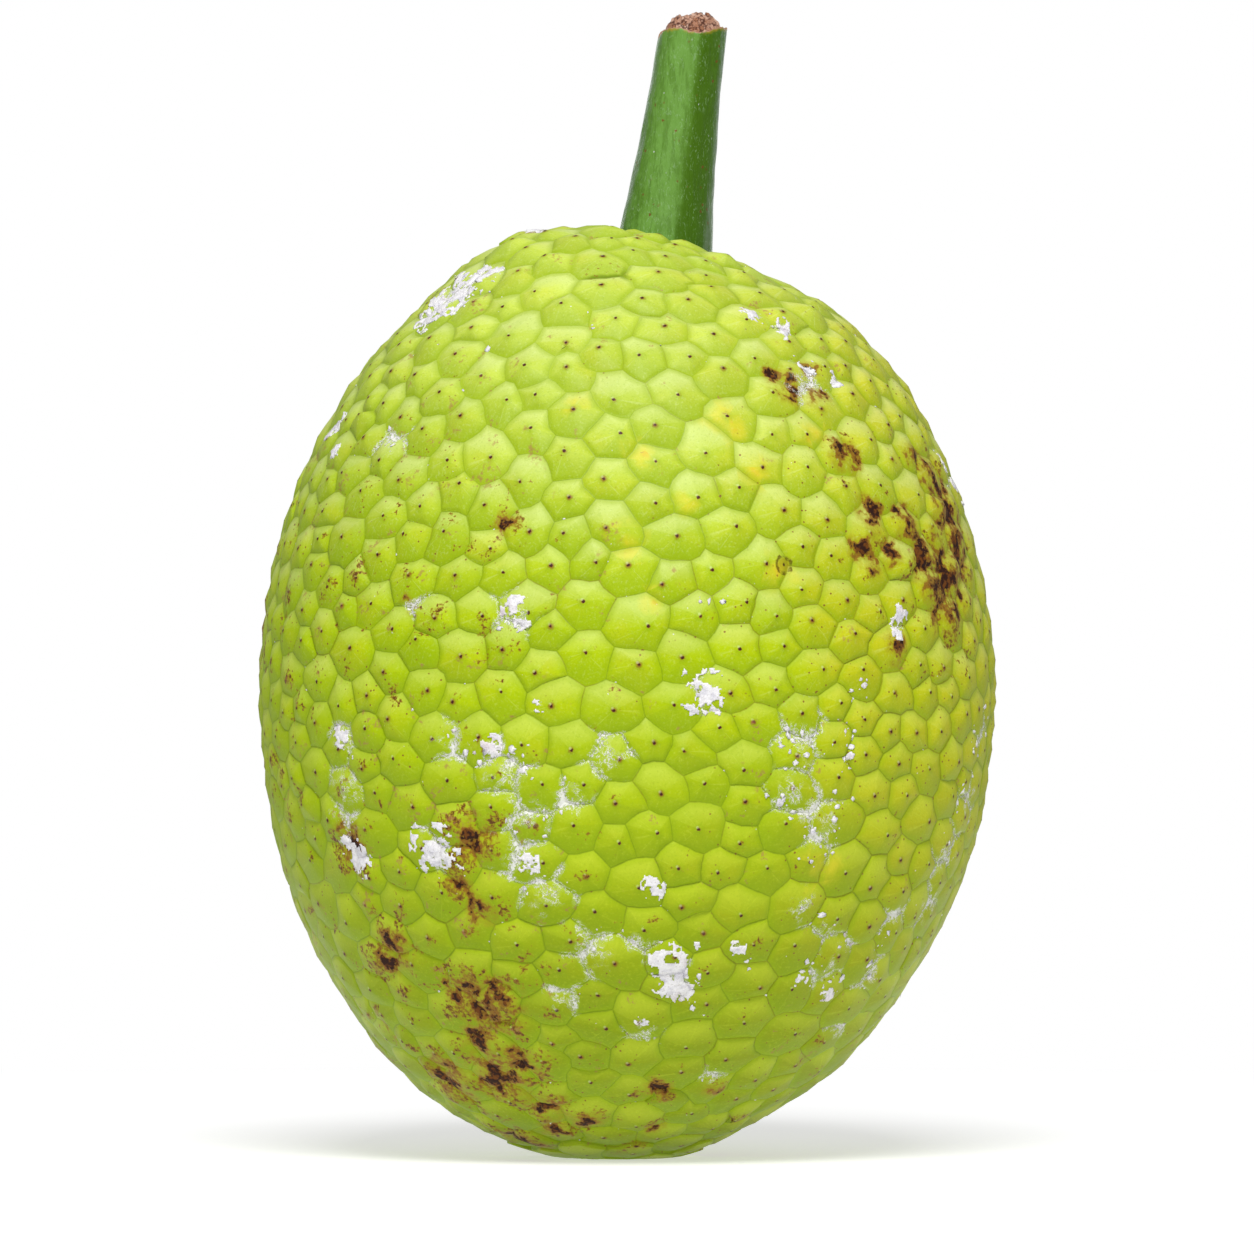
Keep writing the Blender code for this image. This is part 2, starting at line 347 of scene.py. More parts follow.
def groove_net(corners, rings):
    """The grooves around all faces.

    Gives the directions of the points along them, for each face the ring of their indices, and for
    each entry of those rings the number of its facet, which is the part of a face above one groove.
    """
    chance = np.random.default_rng(SEED + 1)
    corners = unit(corners + chance.normal(size=corners.shape) * CORNER_SHIFT / MEAN_RADIUS)
    places = fruit_surface(corners)[0]
    directions = list(corners)
    between = {}
    loops = []
    facets = []
    facet = 0
    for ring in rings:
        loop = []
        for start, end in zip(ring, ring[1:] + ring[:1]):
            key = (min(start, end), max(start, end))
            if key not in between:
                length = np.linalg.norm(places[key[0]] - places[key[1]])
                inner = bent_line(corners[key[0]], corners[key[1]], length, chance)
                between[key] = list(range(len(directions), len(directions) + len(inner)))
                directions += inner
            inner = between[key]
            stretch = [start] + (inner if key[0] == start else inner[::-1])
            facets += [facet] * len(stretch)
            facet += 1
            loop += stretch
        loops.append(loop)
    return np.array(directions), loops, np.array(facets)


def bent_line(low, high, length, chance):
    """Directions between two corners that are length apart, on a slightly bent and wavering line."""
    pieces = max(1, round(length / GROOVE_STEP))
    sideways = np.cross(low, high)
    sideways /= np.linalg.norm(sideways) + TINY
    bow = chance.normal() * GROOVE_BOW / MEAN_RADIUS
    line = []
    for piece in range(1, pieces):
        share = piece / pieces
        off = bow * math.sin(math.pi * share) + chance.normal() * GROOVE_SWAY / MEAN_RADIUS
        point = low + (high - low) * share + sideways * off
        line.append(point / np.linalg.norm(point))
    return line


def waves(points, size, strength):
    """Smooth noise at each point, size metres across and up to about strength high."""
    return np.array([noise.noise(Vector(point) / size) for point in points]) * strength


def face_traits(centres, chance):
    """For each face its relief, how far it is lifted, and how domed and how soft it is, from 0 to 1."""
    level = fruit_level(centres)
    aside = np.abs(centres[:, 0]) / np.hypot(centres[:, 0], centres[:, 1])
    sideways = smooth_step(aside, *SIDE_ZONE)
    crown = smooth_step(level, *CROWN_ZONE)
    low = smooth_step(level, *LOW_ZONE)
    flattened = OUTLINE_FLATTENING * smooth_step(aside, *OUTLINE_ZONE) + LOW_FLATTENING * low
    relief = RELIEF * chance.uniform(*RELIEF_SPREAD, len(centres)) * (1 - flattened)
    lift = chance.normal(size=len(centres)) * (FACE_LIFT + CROWN_LIFT * crown)
    domed = LEAST_DOME + MORE_DOME * np.maximum(np.maximum(CROWN_DOME * crown, sideways), low)
    soft = np.maximum(CROWN_SOFTNESS * smooth_step(level, *SOFT_LEVELS), SIDE_SOFTNESS * sideways)
    return relief, lift, domed, soft


def rind_piece():
    """The rind as one closed mesh with the measures for its material, and its pimple and crease.

    Each face is drawn as rings from the groove around it to its tip. All rings of all faces are
    worked out together: entry i of an array is one point of one ring.
    """
    corners, rings = rind_outlines()
    directions, loops, facet_of = groove_net(corners, rings)
    chance = np.random.default_rng(SEED + 2)
    face_of = np.concatenate([np.full(len(loop), face) for face, loop in enumerate(loops)])
    rim = np.concatenate(loops)
    starts = np.cumsum([0] + [len(loop) for loop in loops])

    centres = np.array([corners[ring].mean(axis=0) for ring in rings])
    centres = unit(centres + chance.normal(size=centres.shape) * TIP_SHIFT / MEAN_RADIUS)
    tips, tips_out = fruit_surface(centres)
    relief, lift, domed, soft = face_traits(centres, chance)
    calm = smooth_step(np.linalg.norm(tips, axis=1), *CALM_RADII)

    rim_points, rim_out = fruit_surface(directions)
    rim_calm = smooth_step(np.linalg.norm(rim_points, axis=1), *CALM_RADII)
    rim_points -= rim_out * (GROOVE_DEPTH * rim_calm)[:, None]
    radius = np.linalg.norm(tips[face_of] - rim_points[rim], axis=1)

    shares = [distance / radius for distance in RING_DISTANCES]
    shares += [np.full(len(rim), RING_SHARE), 1 - NUB_RADIUS / radius]
    layers = [rim_points]
    groove_distances = [np.zeros(len(rim_points))]
    tip_distances = [np.full(len(rim_points), FACE_WIDTH / 2)]
    for share in shares:
        inward = directions[rim] + (centres[face_of] - directions[rim]) * share[:, None]
        points, outward = fruit_surface(unit(inward))
        traits = (trait[face_of] for trait in (relief, domed, soft))
        height = face_height(share, share * radius, *traits)
        height = (height + lift[face_of] - GROOVE_DEPTH) * calm[face_of]
        layers.append(points + outward * height[:, None])
        groove_distances.append(share * radius)
        tip_distances.append((1 - share) * radius)
    height = (relief + lift + NUB_HEIGHT * (1 - NUB_FADING * soft) - GROOVE_DEPTH) * calm
    layers.append(tips + tips_out * height[:, None])
    groove_distances.append(np.minimum.reduceat(radius, starts[:-1]))
    tip_distances.append(np.zeros(len(rings)))
    points = np.concatenate(layers)
    outward = unit(points - np.array((0, 0, SEMI_AXES[2])))
    points += outward * waves(points, WAVE_LENGTH, WAVINESS)[:, None]
    points[:, 2] = points[:, 2].clip(0)

    mesh = bpy.data.meshes.new("rind")
    mesh.from_pydata(points, [], face_polygons(rim, starts, face_of, len(rim_points), len(shares)))
    mesh.shade_smooth()
    add_measure(mesh, "groove_mm", "POINT", np.concatenate(groove_distances) / MM)
    add_measure(mesh, "tip_mm", "POINT", np.concatenate(tip_distances) / MM)
    east = unit(np.cross((0, 0, 1), tips_out))
    north = np.cross(tips_out, east)
    upward = ((rim_points[rim] - tips[face_of]) * north[face_of]).sum(axis=1) / radius
    facet_up = np.bincount(facet_of, upward) / np.bincount(facet_of)
    owner, facet = (np.tile(numbers, len(shares) + 1) for numbers in (face_of, facet_of))
    add_measure(mesh, "face_random", "FACE", chance.uniform(size=len(rings))[owner])
    add_measure(mesh, "facet_random", "FACE", chance.uniform(size=len(facet_up))[facet])
    add_measure(mesh, "facet_up", "FACE", facet_up[facet])
    sides = np.repeat((4, 3), (len(rim) * len(shares), len(rim)))
    add_offsets(mesh, points, tips, east, north, np.repeat(owner, sides))
    add_marks(mesh, points, chance)
    return add_object(mesh), front_marks(points, (PIMPLE, CREASE))


def face_polygons(rim, starts, face_of, rim_count, inner_rings):
    """The quads between the rings of all faces, and the triangles around their tips."""
    order = np.arange(len(rim))
    following = order + 1
    following[starts[1:] - 1] = starts[:-1]
    rings = [rim] + [rim_count + ring * len(rim) + order for ring in range(inner_rings)]
    quads = [np.stack((lower, lower[following], upper[following], upper), axis=1)
             for lower, upper in zip(rings, rings[1:])]
    tips = rim_count + inner_rings * len(rim) + face_of
    caps = np.stack((rings[-1], rings[-1][following], tips), axis=1)
    return np.concatenate(quads).tolist() + caps.tolist()


def add_offsets(mesh, points, tips, east, north, corner_face):
    """At each corner of the mesh, how many millimetres east and north of its face's tip it is."""
    corner_point = np.zeros(len(mesh.loops), np.int32)
    mesh.loops.foreach_get("vertex_index", corner_point)
    away = points[corner_point] - tips[corner_face]
    offsets = np.zeros((len(away), 3))
    offsets[:, 0] = (away * east[corner_face]).sum(axis=1)
    offsets[:, 1] = (away * north[corner_face]).sum(axis=1)
    layer = mesh.attributes.new("from_tip", "FLOAT_VECTOR", "CORNER")
    layer.data.foreach_set("vector", (offsets / MM).ravel())


def face_height(share, distance, relief, domed, soft):
    """Height above the groove, share of the way from it to the tip and at that distance from it."""
    shoulder = SHOULDER * (1 - soft)
    wall = shoulder * (1 - np.exp(-distance / GROOVE_WIDTH))
    slope = (1 - domed) * share + domed * (1 - (1 - share) ** 2)
    slope += soft * (smooth_step(share, 0, SWELLING_END) - slope)
    return wall + (relief - shoulder) * slope


def add_measure(mesh, name, domain, values):
    """A number for each point or face of the mesh."""
    layer = mesh.attributes.new(name, "FLOAT", domain)
    layer.data.foreach_set("value", values.astype(np.float32))


def add_marks(mesh, points, chance):
    """How near each point is to a scab, to a yellowed place and to a film of latex."""
    fields = {"scab": SCABS, "yellowed": YELLOWED, "film": LATEX_FILMS + LATEX_CRUSTS}
    for name, front in fields.items():
        marks = front_marks(points, front) + back_marks(points, BACK_CLUSTERS[name], chance)
        add_measure(mesh, name, "POINT", nearness(points, marks))


def front_marks(points, marks):
    """Place on the rind and radius of each mark seen from the front."""
    front = points[points[:, 1] < 0]
    seen = front[:, (0, 2)] / MM
    return [(front[np.linalg.norm(seen - (across, height), axis=1).argmin()], radius * MM)
            for across, height, radius in marks]


def back_marks(points, clusters, chance):
    """Marks in random clusters on the back."""
    back = points[points[:, 1] > 0]
    marks = []
    for centre in back[chance.integers(len(back), size=clusters)]:
        near = back[np.linalg.norm(back - centre, axis=1) < CLUSTER_RADIUS]
        for place in near[chance.integers(len(near), size=CLUSTER_MARKS)]:
            marks.append((place, chance.uniform(*BACK_RADII) * MM))
    return marks


def nearness(points, marks):
    """For each point 1 in the middle of a mark, 0 at its edge, and less beyond."""
    share = np.full(len(points), -1.0)
    for place, radius in marks:
        share = np.maximum(share, 1 - np.linalg.norm(points - place, axis=1) / radius)
    return share


# ---- Latex ----

def latex_piece(rind):
    """Dried drops and crusts of latex on the rind."""
    points = np.empty(len(rind.data.vertices) * 3)
    rind.data.vertices.foreach_get("co", points)
    points = points.reshape(-1, 3)
    groove_mm = np.empty(len(points))
    rind.data.attributes["groove_mm"].data.foreach_get("value", groove_mm)
    grooves = points[groove_mm == 0]
    tree = BVHTree.FromPolygons(points.tolist(), [poly.vertices[:] for poly in rind.data.polygons])
    chance = np.random.default_rng(SEED + 3)
    latex = bmesh.new()
    crusts = front_marks(points, LATEX_CRUSTS)
    behind = back_marks(points, BACK_CLUSTERS["crust"], chance)
    crusts += [(place, radius / 2) for place, radius in behind]
    for place, radius in crusts:
        add_crust(latex, tree, Vector(place), radius, chance.uniform(0, 100))
    crumbly = back_marks(points, BACK_CLUSTERS["crumbs"], chance)
    for place, radius in front_marks(points, LATEX_FILMS) + crumbly:
        near = grooves[np.linalg.norm(grooves - place, axis=1) < radius]
        add_groove_crumbs(latex, tree, near, chance)
    for start, end, count in BEAD_TRAILS:
        start, end = (Vector((across, 0, height)) * MM for across, height in (start, end))
        add_beads(latex, tree, start, end, count, chance)
    for place in grooves[chance.integers(len(grooves), size=LONE_CRUMBS)]:
        hit, outward = tree.find_nearest(place)[:2]
        add_crumb(latex, hit, outward, LONE_RADII, chance)
    for vert in latex.verts:
        vert.co.z = max(0, vert.co.z)
    return add_object(smooth_mesh("latex", latex))


def bumps(place, height, size):
    """Smooth noise at a place, about 0, that high and that size."""
    return height * noise.noise(place / size)


def crust_body(spot, place, radius, offset):
    """How far inside a crust a spot is: 0 at its torn outline and at the edges of its holes."""
    strength, size = CRUST_CLOUDS
    body = 1 - (spot - place).length / radius
    body += strength * noise.noise(spot / size + Vector((offset, 0, 0)))
    shard = noise.voronoi(spot / SHARD_SIZE)[1][0]
    return body + SHARD_STRENGTH * noise.cell(shard * LEVEL_HASH) + bumps(spot, *CRUST_GRAIN)


def add_crust(latex, tree, place, radius, offset):
    """A thin crust with a ragged outline and holes, as a closed shell that sits in the rind."""
    place, normal = tree.find_nearest(place)[:2]
    east = Vector((0, 0, 1)).cross(normal).normalized()
    north = normal.cross(east)
    reach = round(CRUST_REACH * radius / CRUST_STEP)
    shell = {}
    for row in range(-reach, reach + 1):
        for column in range(-reach, reach + 1):
            spot = place + (east * column + north * row) * CRUST_STEP
            body = crust_body(spot, place, radius, offset)
            if body > 0:
                hit, outward = tree.ray_cast(spot + normal * ABOVE_RIND, -normal)[:2]
                height = CRUST_HEIGHT * (1 - math.exp(-CRUST_EDGE * body))
                height *= CRUST_EVENNESS + bumps(spot, *CRUST_LUMPS)
                shell[row, column] = (latex.verts.new(hit + outward * height),
                                      latex.verts.new(hit - outward * CRUST_ROOT))
    cells = {(row, column) for row, column in shell
             if {(row + 1, column), (row, column + 1), (row + 1, column + 1)} <= shell.keys()}
    for row, column in sorted(cells):
        square = [(row, column), (row, column + 1), (row + 1, column + 1), (row + 1, column)]
        latex.faces.new([shell[key][0] for key in square])
        latex.faces.new([shell[key][1] for key in reversed(square)])
        beyond = [(row - 1, column), (row, column + 1), (row + 1, column), (row, column - 1)]
        for start, end, neighbour in zip(square, square[1:] + square[:1], beyond):
            if neighbour not in cells:
                latex.faces.new((shell[start][0], shell[start][1], shell[end][1], shell[end][0]))
    loose = [vert for vert in latex.verts if not vert.link_faces]
    bmesh.ops.delete(latex, geom=loose, context="VERTS")


def add_beads(latex, tree, start, end, count, chance):
    """Small dried drops between two places seen from the front."""
    for _ in range(count):
        spot = start.lerp(end, chance.uniform())
        spot += Vector((chance.normal(), 0, chance.normal())) * BEAD_SPREAD
        hit, outward = tree.ray_cast(spot + IN_FRONT, -IN_FRONT)[:2]
        if hit is not None:
            add_crumb(latex, hit, outward, BEAD_RADII, chance)


def add_groove_crumbs(latex, tree, grooves, chance):
    """Crumbs of latex in patches along the grooves."""
    for place in grooves:
        if bumps(Vector(place), 1, CRUMB_PATCHES) > 0:
            spot = Vector(place + chance.normal(size=3) * CRUMB_SPREAD)
            hit, outward = tree.find_nearest(spot)[:2]
            add_crumb(latex, hit, outward, CRUMB_RADII, chance)


def add_crumb(latex, place, outward, radii, chance):
    """An uneven lump, flattened against the rind. Small ones are the most common."""
    radius = radii[0] + (radii[1] - radii[0]) * chance.uniform() ** CRUMB_SMALLNESS
    stretch = chance.uniform(*CRUMB_STRETCH, size=3)
    offset = Vector(chance.uniform(0, 100, size=3))
    strength, lumps = CRUMB_LUMPS
    for vert in bmesh.ops.create_icosphere(latex, subdivisions=2, radius=radius)["verts"]:
        swell = 1 + strength * noise.noise(vert.co / radius * lumps + offset)
        shape = Vector(vert.co[axis] * stretch[axis] for axis in range(3)) * swell
        vert.co = place + shape - outward * (shape.dot(outward) * CRUMB_FLATNESS - radius * CRUMB_RISE)


def smooth_mesh(name, solid):
    """The solid as a smooth mesh of its own."""
    mesh = bpy.data.meshes.new(name)
    solid.to_mesh(mesh)
    solid.free()
    mesh.shade_smooth()
    return mesh


def add_object(mesh):
    """An object named for its mesh, in the scene."""
    thing = bpy.data.objects.new(mesh.name, mesh)
    bpy.context.scene.collection.objects.link(thing)
    return thing


# ---- The stem ----

def stem_outline(angle):
    """How far the stem's skin is from its axis, next to its mean radius: three blunt edges and a rib."""
    edges = EDGE_SWELL * math.cos(3 * angle + EDGE_TURN)
    return 1 + edges + RIB_SWELL * nearby(angle, RIB_ANGLE, RIB_SPAN)


def nearby(angle, centre, span):
    """1 at that angle around the stem, fading to nothing within about its span."""
    return math.exp(-(math.remainder(angle - centre, math.tau) / span) ** 2)


def around():
    """Each angle around the stem with its point on the unit circle."""
    for side in range(STEM_SIDES):
        angle = math.tau * (side / STEM_SIDES)
        yield angle, Vector((math.cos(angle), math.sin(angle), 0))


def rim_height(angle, direction):
    """Height of the ragged rim above the level of the cut."""
    ragged = noise.noise(direction * LONG_WAVES + WAVE_PLACE)
    ragged += SHORT_WAVE * noise.noise(direction * SHORT_WAVES)
    corner = CORNER_DROP * nearby(angle, CORNER_ANGLE, CORNER_SPAN)
    return RIM_LIFT + RIM_WAVE * ragged - corner - FRONT_DIP * nearby(angle, DIP_ANGLE, DIP_SPAN)


def loft(name, rings):
    """A mesh of bands between rings of the same number of points."""
    solid = bmesh.new()
    lines = [[solid.verts.new(point) for point in ring] for ring in rings]
    for lower, upper in zip(lines, lines[1:]):
        for corners in zip(lower, lower[1:] + lower[:1], upper[1:] + upper[:1], upper):
            solid.faces.new(corners)
    solid.faces.new(reversed(lines[0]))
    solid.faces.new(lines[-1])
    return smooth_mesh(name, solid)


def stem_ring(share, reach=1.0, drop=0.0):
    """A ring of the stem's skin, share of the way up, pulled in to reach and lowered by drop."""
    swell = (STEM_FOOT_RADIUS - STEM_TIP_RADIUS) * (1 - share) ** STEM_TAPER
    centre = STEM_FOOT.lerp(STEM_TIP, share)
    ring = []
    for angle, direction in around():
        radius = (STEM_TIP_RADIUS + swell) * stem_outline(angle) + SKIN_SPREAD
        point = centre + direction * radius
        radius += bumps(Vector((point.x, point.y, point.z / RIDGE_LENGTH)), *SKIN_RIDGES)
        radius += bumps(point, *SKIN_LUMPS)
        point = centre + direction * radius * reach
        point.z += share ** SKIN_FADING * rim_height(angle, direction) - drop
        ring.append(point)
    return ring


def stem_piece():
    """The stem's green skin, up to the ragged rim of the cut and a little way down inside it."""
    rings = [stem_ring(section / STEM_SECTIONS) for section in range(STEM_SECTIONS + 1)]
    rings += [stem_ring(1, reach, drop) for reach, drop in LIP]
    mesh = loft("stem_skin", rings)
    below = [(max(0, STEM_SECTIONS - section) / STEM_SECTIONS) * (STEM_TIP - STEM_FOOT).length / MM
             for section in range(len(rings))]
    add_measure(mesh, "rim_mm", "POINT", np.repeat(below, STEM_SIDES))
    return add_object(mesh)


def flakes(point):
    """Height of a torn flake at a point: each one has its own level and its own tilt."""
    nearest = noise.voronoi(point / FLAKE_SIZE)[1][0]
    tilt = Vector((noise.cell(nearest * EAST_HASH) - 0.5, noise.cell(nearest * NORTH_HASH) - 0.5, 0))
    return noise.cell(nearest * LEVEL_HASH) + FLAKE_TILT * tilt.dot(point / FLAKE_SIZE - nearest)


def core_piece():
    """The torn brown core of the cut: a dome of flakes, highest a little to the right of its middle."""
    across, rises = zip(*CORE_PROFILE)
    rings = []
    for ring in range(CORE_RINGS):
        share = 1 - ring / CORE_RINGS
        body = min(1.0, CORE_SHOULDER * (1 - share))
        points = []
        for angle, direction in around():
            point = STEM_TIP + direction * share * STEM_TIP_RADIUS * stem_outline(angle) * CORE_SHARE
            rise = np.interp(share * direction.x, across, rises)
            rise *= 1 - CORE_FALL * (share * direction.y) ** 2
            torn = flakes(Vector((point.x, point.y, 0))) - FLAKE_LEVEL + bumps(point, *FLAKE_GRAIN)
            point.z += (rise + FLAKE_HEIGHT * torn) * body - CORE_SINK * (1 - body)
            point.z += rim_height(angle, direction) * share ** CORE_FADING
            point.z = min(point.z, STEM_TIP.z + CORE_LIMIT)
            points.append(point)
        rings.append(points)
    rings.insert(0, [point - Vector((0, 0, CORE_FOOT)) for point in rings[0]])
    return add_object(loft("stem_core", rings))


# ---- Materials ----

def paint(red, green, blue):
    """A colour given as 0 to 255 on screen, as the shader takes it."""
    parts = [part / 255 for part in (red, green, blue)]
    return (*(part / 12.92 if part < 0.04045 else ((part + 0.055) / 1.055) ** 2.4 for part in parts), 1)


# Colours of the rind
# painted shade of the lower half
LOW_GREEN = paint(112, 126, 0)
MIDDLE_GREEN = paint(172, 194, 0)
# partly painted highlight: the milky pallor of the crown
TOP_GREEN = paint(197, 214, 82)
YELLOW_GREEN = paint(202, 192, 30)
DEEP_GREEN = paint(116, 150, 0)
# pale mottling, and the painted highlight on facets that look up
PALE_GREEN = paint(216, 228, 158)
PALE_LOW_GREEN = paint(200, 216, 56)
GROOVE_SHADE = paint(142, 168, 0)
GROOVE_GREEN = paint(98, 124, 0)
GROOVE_BROWN = paint(112, 92, 20)
TIP_BROWN = paint(58, 22, 18)
TIP_RED = paint(120, 56, 34)
PIMPLE_BROWN = paint(88, 70, 10)
# painted shade in the grooves of the crease
CREASE_SHADE = paint(92, 116, 0)
RUST = paint(128, 78, 26)
RUST_DARK = paint(80, 38, 20)
RUST_PINK = paint(156, 104, 72)
STAIN = paint(150, 132, 20)
SCAB = paint(46, 22, 14)
SCAB_BROWN = paint(104, 60, 18)
YELLOW = paint(226, 206, 50)
ORANGE = paint(214, 160, 40)

# Colours of the latex and the stem
# whitish latex haze, and also the colour of the painted glint beside each tip
HAZE_AND_GLINT = paint(220, 234, 170)
LATEX = paint(232, 230, 232)
LATEX_GREY = paint(206, 204, 212)
LATEX_PINK = paint(214, 196, 200)
LATEX_PIT = paint(150, 130, 120)
STEM_GREEN = paint(74, 114, 22)
# dark streaks of the stem, and its painted shade in the band to the right
STEM_DEEP = paint(60, 96, 0)
# pale mottling of the stem, and its painted highlight on the left
STEM_PALE_AND_HIGHLIGHT = paint(105, 149, 64)
STEM_HAIR = paint(146, 176, 132)
STEM_PORE = paint(108, 58, 24)
# painted sheen along the stem's flanks
STEM_EDGE_SHEEN = paint(118, 136, 116)
RIM_YELLOW = paint(150, 132, 40)
RIM_BROWN = paint(164, 122, 98)
CORE_PALE = paint(222, 184, 162)
CORE_BROWN = paint(164, 108, 76)
CORE_DARK = paint(76, 40, 32)
STEM_SHEEN = paint(205, 212, 214)

# The surfaces. Lengths are in millimetres
RIND_ROUGHNESS = 0.45
MARK_ROUGHNESS = 0.22           # besides, on scabs and films of latex
MARK_HEIGHT = 0.12              # of those
PORE_DEPTH = 0.05
VEIN_SPREAD = 3.0               # how far apart the veins of a face are
FLAKE_TWIST = 2.4               # how far the core's flakes are pulled out of shape
STREAKS = (1, 1, 0.16)          # draws what it scales out along the stem
HAIRS = (1, 1, 0.4)
FLECKS = (1, 1, 0.5)
HAIR_COUNT = 2.6                # in a millimetre
HAIR_TWIST = 1.2
STEM_LEAN = 0.13                # to the right, for its height
STEM_NARROWING = 0.0094         # in a millimetre of height
NARROWING_START = 0.69          # taken off what that comes to


class Graph:
    """A material's nodes. Each call adds some and gives back their output. Lengths are millimetres."""

    def __init__(self, name, roughness, specular):
        self.material = bpy.data.materials.new(name)
        self.material.use_nodes = True
        self.tree = self.material.node_tree
        self.shader = self.tree.nodes["Principled BSDF"]
        self.shader.inputs["Roughness"].default_value = roughness
        self.shader.inputs["Specular IOR Level"].default_value = specular
        self.here = self.vector("SCALE", self.node("TexCoord", {}, "Object"), Scale=1 / MM)
        self.across, self.depth, self.height = (self.part(self.here, axis) for axis in "XYZ")

    def node(self, kind, inputs, output=0, **settings):
        """A node of that kind, with its settings and its inputs, which are values or other outputs."""
        node = self.tree.nodes.new("ShaderNode" + kind)
        for setting, value in settings.items():
            setattr(node, setting, value)
        for socket, value in inputs.items():
            if isinstance(value, bpy.types.NodeSocket):
                self.tree.links.new(value, node.inputs[socket])
            else:
                node.inputs[socket].default_value = value
        return node.outputs[output]

    def measure(self, name, output="Fac"):
        """A measure stored in the mesh."""
        return self.node("Attribute", {}, output, attribute_name=name)

    def math(self, operation, first, second=0.0):
        """A sum, a product and so on."""
        return self.node("Math", {0: first, 1: second}, operation=operation)

    def vector(self, operation, first, second=(0, 0, 0), output="Vector", **inputs):
        """A sum or a product of vectors and so on."""
        return self.node("VectorMath", {0: first, 1: second, **inputs}, output, operation=operation)

    def part(self, vector, axis):
        """One coordinate of a vector."""
        return self.node("SeparateXYZ", {0: vector}, axis)

    def step(self, value, start, end):
        """0 before start and 1 after end, or the other way round where end is less."""
        low, high = min(start, end), max(start, end)
        ends = {"To Min": float(start > end), "To Max": float(start <= end)}
        return self.node("MapRange", {"Value": value, "From Min": low, "From Max": high, **ends},
                         interpolation_type="SMOOTHSTEP")

    def noise(self, size, detail=2.0, roughness=0.5, place=None, output=0, **inputs):
        """Cloudy noise about 0.5, of that size."""
        return self.node("TexNoise", {"Vector": place or self.here, "Scale": 1 / size, "Detail": detail,
                                      "Roughness": roughness, **inputs}, output)

    def cells(self, size, place=None, output="Distance", **settings):
        """Cells of that size, and how far off the middle of the nearest is or another output."""
        inputs = {"Vector": place or self.here, "Scale": 1 / size}
        return self.node("TexVoronoi", inputs, output, **settings)

    def away(self, place):
        """The distance to a place given in metres."""
        return self.vector("DISTANCE", self.here, tuple(place / MM), output="Value")

    def apart(self, first, second):
        """The difference of two values, never negative."""
        return self.math("ABSOLUTE", self.math("SUBTRACT", first, second))

    def times(self, *values):
        """The product of all values."""
        product = values[0]
        for value in values[1:]:
            product = self.math("MULTIPLY", product, value)
        return product

    def plus(self, value, noise, strength):
        """The value moved up and down by a noise about 0.5."""
        shifted = self.math("SUBTRACT", noise, 0.5)
        return self.math("ADD", value, self.math("MULTIPLY", shifted, strength))

    def mix(self, share, first, second):
        """The first colour, with that share of the second."""
        return self.node("Mix", {0: share, 6: first, 7: second}, 2, data_type="RGBA")

    def coat(self, colour, paint, share, *covers):
        """The colour under a coat of paint: that share of it, and less where a cover is under 1."""
        return self.mix(self.times(*covers, share), colour, paint)

    def bands(self, colour, value, *bands):
        """The colour under coats that set in along the value, each from its start to its end."""
        for start, end, share, paint in bands:
            colour = self.coat(colour, paint, share, self.step(value, start, end))
        return colour

    def finish(self, colour, bumps, depth, roughness=None):
        """The material with that colour and with bumps of that depth, in metres."""
        self.tree.links.new(colour, self.shader.inputs["Base Color"])
        if roughness is not None:
            self.tree.links.new(roughness, self.shader.inputs["Roughness"])
        normal = self.node("Bump", {"Height": bumps, "Distance": depth, "Strength": 1.0})
        self.tree.links.new(normal, self.shader.inputs["Normal"])
        return self.material


def ground_colour(graph):
    """The green of the rind: yellower on the right and deeper on the left, paler and milkier at the
    crown, partly as a painted highlight, and darker below as a painted shade.
    """
    # Paler crown: partly the rind's own tone, partly a painted highlight of the light from above
    colour = graph.mix(graph.step(graph.height, 100, 180), MIDDLE_GREEN, TOP_GREEN)
    right = graph.step(graph.plus(graph.across, graph.noise(24), 70), 15, 70)
    colour = graph.coat(colour, YELLOW_GREEN, 0.7, right)
    left = graph.step(graph.plus(graph.across, graph.noise(30), 60), -20, -75)
    colour = graph.coat(colour, DEEP_GREEN, 0.13, left)
    colour = graph.coat(colour, YELLOW_GREEN, 0.25, graph.step(graph.noise(9, 3), 0.42, 0.75))
    colour = graph.coat(colour, DEEP_GREEN, 0.24, graph.measure("face_random"))
    # Painted shade: the lower half darker, where less light reaches
    return graph.coat(colour, LOW_GREEN, 0.72, graph.step(graph.height, 105, 10))


def pale_green(graph):
    """The palest green of the skin, for pale mottling and for painted highlights, less milky below."""
    return graph.mix(graph.step(graph.height, 50, 150), PALE_LOW_GREEN, PALE_GREEN)


def painted_facet_light_and_shade(graph, colour, pale):
    """Painted light and shade: facets that look up are paler and those that look down deeper, and each
    face paler above its tip and deeper below, with faint veins from the tip.
    """
    facing = graph.measure("facet_up")
    # Painted highlight on facets that look up, painted shade on those that look down
    colour = graph.bands(colour, facing, (0.1, 0.95, 0.11, pale), (0.1, -0.9, 0.10, DEEP_GREEN))
    offset = graph.measure("from_tip", "Vector")
    upward = graph.part(offset, "Y")
    # Painted highlight above each tip and painted shade below it
    colour = graph.bands(colour, upward, (0.0, 4.8, 0.36, pale), (0.3, -4, 0.34, DEEP_GREEN))
    colour = graph.coat(colour, DEEP_GREEN, 0.10, graph.measure("facet_random"))
    spread = graph.vector("SCALE", graph.vector("NORMALIZE", offset), Scale=VEIN_SPREAD)
    spread = graph.vector("ADD", spread, graph.measure("face_random", "Vector"))
    veins = graph.step(graph.noise(0.6, place=spread), 0.58, 0.72)
    off_tip = graph.step(graph.measure("tip_mm"), 0.6, 1.5)
    off_groove = graph.step(graph.measure("groove_mm"), 0.2, 2.5)
    return graph.coat(colour, pale, 0.20, veins, off_tip, off_groove)


